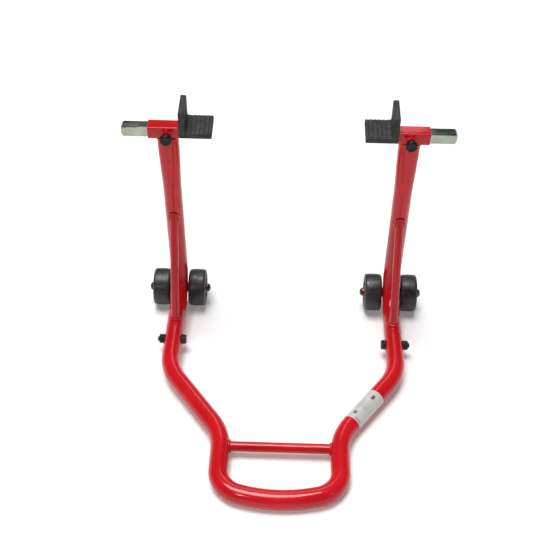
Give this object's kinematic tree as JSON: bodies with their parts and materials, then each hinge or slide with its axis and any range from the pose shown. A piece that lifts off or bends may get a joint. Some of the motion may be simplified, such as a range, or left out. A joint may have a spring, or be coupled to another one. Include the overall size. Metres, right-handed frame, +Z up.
{
  "type": "motorcycle rear paddock stand",
  "caption": "Tubular steel stand on small wheels: two upright arms with sliding, clamped supports lift a motorcycle by its swingarm when the looped handle is pressed down.",
  "frame": {"origin": "centre of the bounding box on the floor, with the stand in its raised position, wheels and grip on the floor", "axes": "+Z up, +Y towards the front of the motorcycle, +X to the right seen from behind; the stand is symmetric about the plane X = 0"},
  "size_m": [0.486, 0.4709, 0.4006],
  "materials": {
    "red_coat": "glossy red powder coat",
    "zinc_plate": "bright zinc plate",
    "black_steel": "black oxide",
    "copper_tint_plate": "plated, with a reddish tint",
    "wheel_rubber": "satin black rubber",
    "wheel_core": "moulded black nylon",
    "knob_plastic": "moulded black plastic",
    "pad_rubber": "matt black rubber"
  },
  "bodies": {
    "frame": {"handle_tube": "red_coat", "handle_crossbar": "red_coat", "left_arm_tube": "red_coat", "right_arm_tube": "red_coat", "left_arm_brace": "red_coat", "right_arm_brace": "red_coat", "left_joint_sleeve": "zinc_plate", "right_joint_sleeve": "zinc_plate", "joint_bolts": "black_steel", "joint_washers": "black_steel", "joint_nuts": "black_steel", "left_axle_boss": "red_coat", "right_axle_boss": "red_coat", "left_axle": "zinc_plate", "right_axle": "zinc_plate", "axle_washers": "zinc_plate", "axle_caps": "copper_tint_plate", "left_socket": "red_coat", "right_socket": "red_coat", "left_clamp_nut": "red_coat", "right_clamp_nut": "red_coat"},
    "left_outer_wheel": {"left_outer_tyre": "wheel_rubber", "left_outer_core": "wheel_core"},
    "left_inner_wheel": {"left_inner_tyre": "wheel_rubber", "left_inner_core": "wheel_core"},
    "right_outer_wheel": {"right_outer_tyre": "wheel_rubber", "right_outer_core": "wheel_core"},
    "right_inner_wheel": {"right_inner_tyre": "wheel_rubber", "right_inner_core": "wheel_core"},
    "left_slide": {"left_slide_bar": "zinc_plate", "left_support_angle": "zinc_plate", "left_support_pad": "pad_rubber"},
    "right_slide": {"right_slide_bar": "zinc_plate", "right_support_angle": "zinc_plate", "right_support_pad": "pad_rubber"},
    "left_stud": {"left_clamp_stud": "zinc_plate"},
    "left_knob": {"left_clamp_knob": "knob_plastic"},
    "right_stud": {"right_clamp_stud": "zinc_plate"},
    "right_knob": {"right_clamp_knob": "knob_plastic"}
  },
  "joints": [
    {"name": "left_outer_wheel_spin", "type": "hinge", "parent": "frame", "child": "left_outer_wheel", "pos_m": [-0.2051, 0.2045, 0.031], "axis": [1, 0, 0], "continuous": true},
    {"name": "left_inner_wheel_spin", "type": "hinge", "parent": "frame", "child": "left_inner_wheel", "pos_m": [-0.1469, 0.2045, 0.031], "axis": [1, 0, 0], "continuous": true},
    {"name": "right_outer_wheel_spin", "type": "hinge", "parent": "frame", "child": "right_outer_wheel", "pos_m": [0.2051, 0.2045, 0.031], "axis": [1, 0, 0], "continuous": true},
    {"name": "right_inner_wheel_spin", "type": "hinge", "parent": "frame", "child": "right_inner_wheel", "pos_m": [0.1469, 0.2045, 0.031], "axis": [1, 0, 0], "continuous": true},
    {"name": "left_bar_slide", "type": "slide", "parent": "frame", "child": "left_slide", "axis": [1, 0, 0], "range_m": [0, 0.032]},
    {"name": "right_bar_slide", "type": "slide", "parent": "frame", "child": "right_slide", "axis": [-1, 0, 0], "range_m": [0, 0.032]},
    {"name": "left_stud_feed", "type": "slide", "parent": "frame", "child": "left_stud", "axis": [0, -0.9919, -0.1271], "range_m": [0, 0.005]},
    {"name": "left_knob_turn", "type": "hinge", "parent": "left_stud", "child": "left_knob", "pos_m": [-0.176, 0.14932, 0.35771], "axis": [0, -0.9919, -0.1271], "range_deg": [0, 1441]},
    {"name": "right_stud_feed", "type": "slide", "parent": "frame", "child": "right_stud", "axis": [0, -0.9919, -0.1271], "range_m": [0, 0.005]},
    {"name": "right_knob_turn", "type": "hinge", "parent": "right_stud", "child": "right_knob", "pos_m": [0.176, 0.14932, 0.35771], "axis": [0, -0.9919, -0.1271], "range_deg": [0, 1441]}
  ],
  "couplings": [
    {"joint": "left_knob_turn", "follows": "left_stud_feed", "rad_per_m": 5026.5},
    {"joint": "right_knob_turn", "follows": "right_stud_feed", "rad_per_m": 5026.5}
  ]
}
